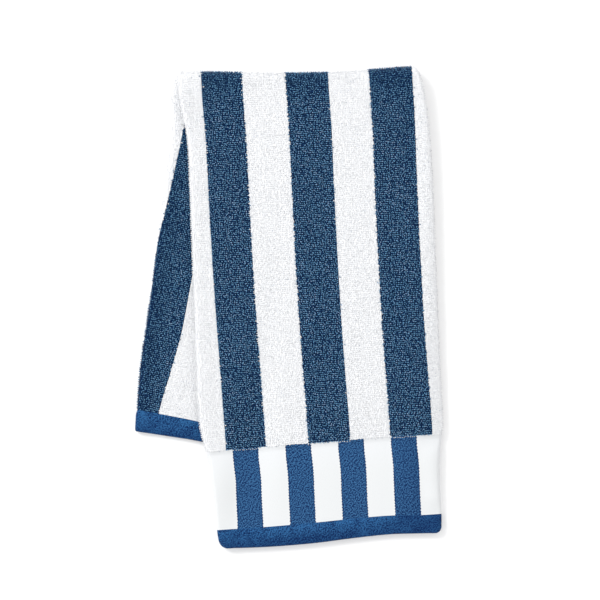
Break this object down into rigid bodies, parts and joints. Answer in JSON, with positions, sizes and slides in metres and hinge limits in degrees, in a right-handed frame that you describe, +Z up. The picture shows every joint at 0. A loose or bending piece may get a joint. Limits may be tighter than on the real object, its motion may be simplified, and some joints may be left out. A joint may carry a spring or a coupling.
{
  "type": "hand towel",
  "caption": "Terry hand towel with broad navy and white stripes and a flat woven border, its sides turned in, folded across and laid flat",
  "frame": {"origin": "middle of the towel's outline as it lies folded, on the surface it rests on", "axes": "+Y runs up the folded towel, from the bordered end to the fold across it; +X runs to the right as seen from above; +Z is up, through the layers"},
  "size_m": [0.2573, 0.4031, 0.0184],
  "materials": {
    "cotton": "matte cotton terry in broad navy and white stripes along its length, with a flat woven border of narrower stripes and navy hems"
  },
  "bodies": {
    "root": {"towel": "cotton"}
  },
  "joints": []
}
